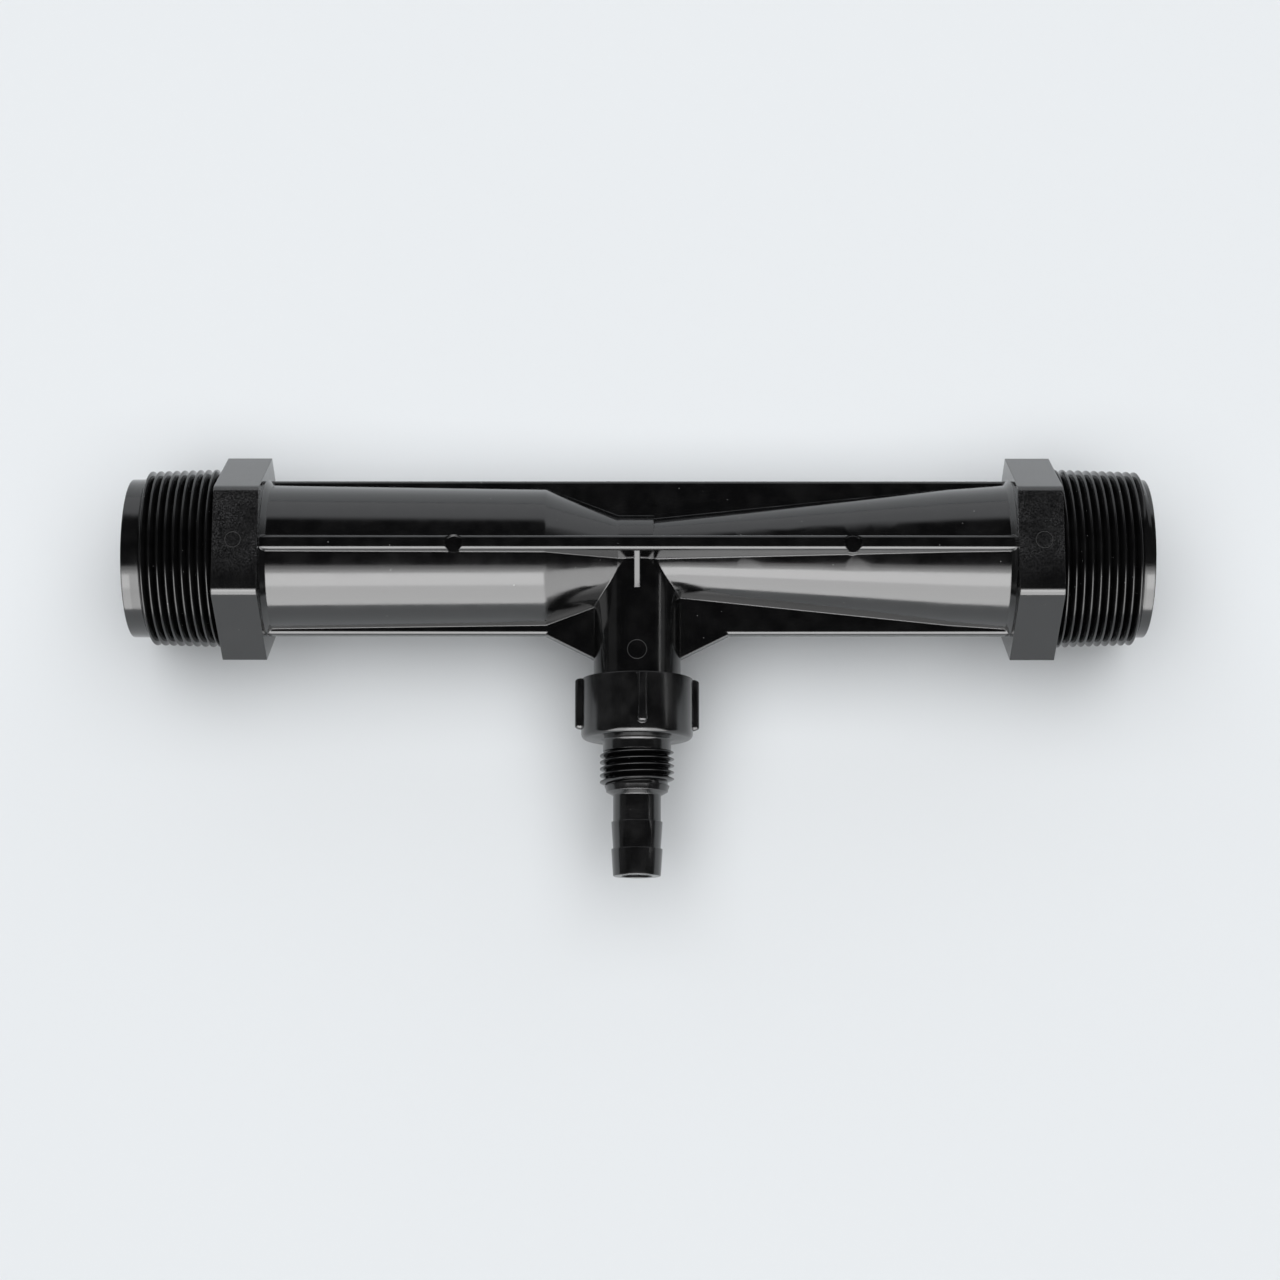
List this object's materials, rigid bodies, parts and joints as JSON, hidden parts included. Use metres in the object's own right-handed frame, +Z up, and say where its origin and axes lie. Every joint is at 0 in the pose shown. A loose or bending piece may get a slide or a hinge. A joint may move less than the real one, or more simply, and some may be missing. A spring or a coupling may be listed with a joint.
{
  "type": "venturi injector",
  "caption": "Black plastic venturi injector with a ribbed body, male pipe threads at both ends and a screw-on suction cap with a hose barb.",
  "frame": {"origin": "where the flow axis meets the suction port's axis, inside the throat", "axes": "+X along the flow from inlet to outlet, -Y out of the suction port, +Z up from the bench that the injector lies on"},
  "size_m": [0.2794, 0.1168, 0.0494],
  "materials": {
    "body_plastic": "satin moulded black",
    "cap_plastic": "satin moulded black",
    "seal_rubber": "matte black rubber",
    "poppet_plastic": "natural white plastic",
    "spring_steel": "bright spring wire"
  },
  "bodies": {
    "body": {"venturi_body": "body_plastic", "check_spring": "spring_steel"},
    "seal": {"seal_washer": "seal_rubber"},
    "cap": {"suction_cap": "cap_plastic"},
    "poppet": {"check_poppet": "poppet_plastic"}
  },
  "joints": [
    {"name": "cap_travel", "type": "slide", "parent": "body", "child": "seal", "axis": [0, -1, 0], "range_m": [0, 0.0105]},
    {"name": "cap_turn", "type": "hinge", "parent": "seal", "child": "cap", "pos_m": [0, -0.046, 0], "axis": [0, -1, 0], "range_deg": [0, 1260]},
    {"name": "poppet_lift", "type": "slide", "parent": "seal", "child": "poppet", "axis": [0, 1, 0], "range_m": [0, 0.003], "stiffness_N_per_m": 60, "springref_m": -0.002, "deforming": ["check_spring"]}
  ],
  "couplings": [
    {"joint": "cap_travel", "follows": "cap_turn", "m_per_rad": 0.00047746}
  ]
}
